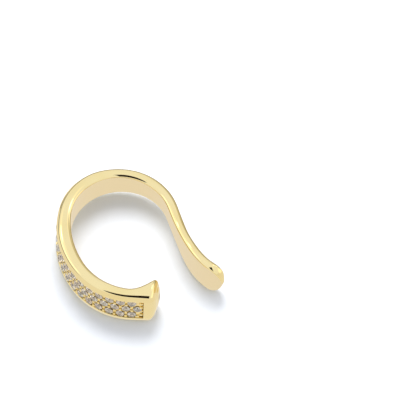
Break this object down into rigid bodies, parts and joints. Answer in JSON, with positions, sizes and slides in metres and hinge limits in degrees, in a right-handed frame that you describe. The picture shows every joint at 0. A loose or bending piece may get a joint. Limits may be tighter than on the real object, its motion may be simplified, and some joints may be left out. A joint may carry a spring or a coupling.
{
  "type": "ear cuff",
  "caption": "Polished gold ear cuff: a band bent into an open loop with an outswept rounded tail, its outer face set with a field of small clear round stones.",
  "frame": {"origin": "under the middle of the cuff's plan, on the surface that the cuff lies on", "axes": "+Z across the band's width, up from the side that the cuff lies on; +X from the loop's closed side towards the tail's tip; +Y from the front end towards the loop's back"},
  "size_m": [0.0182, 0.0166, 0.0049],
  "materials": {
    "gold": "high polish",
    "clear_stones": "faceted"
  },
  "bodies": {
    "root": {"cuff_body": "gold", "pave_field": "clear_stones"}
  },
  "joints": []
}
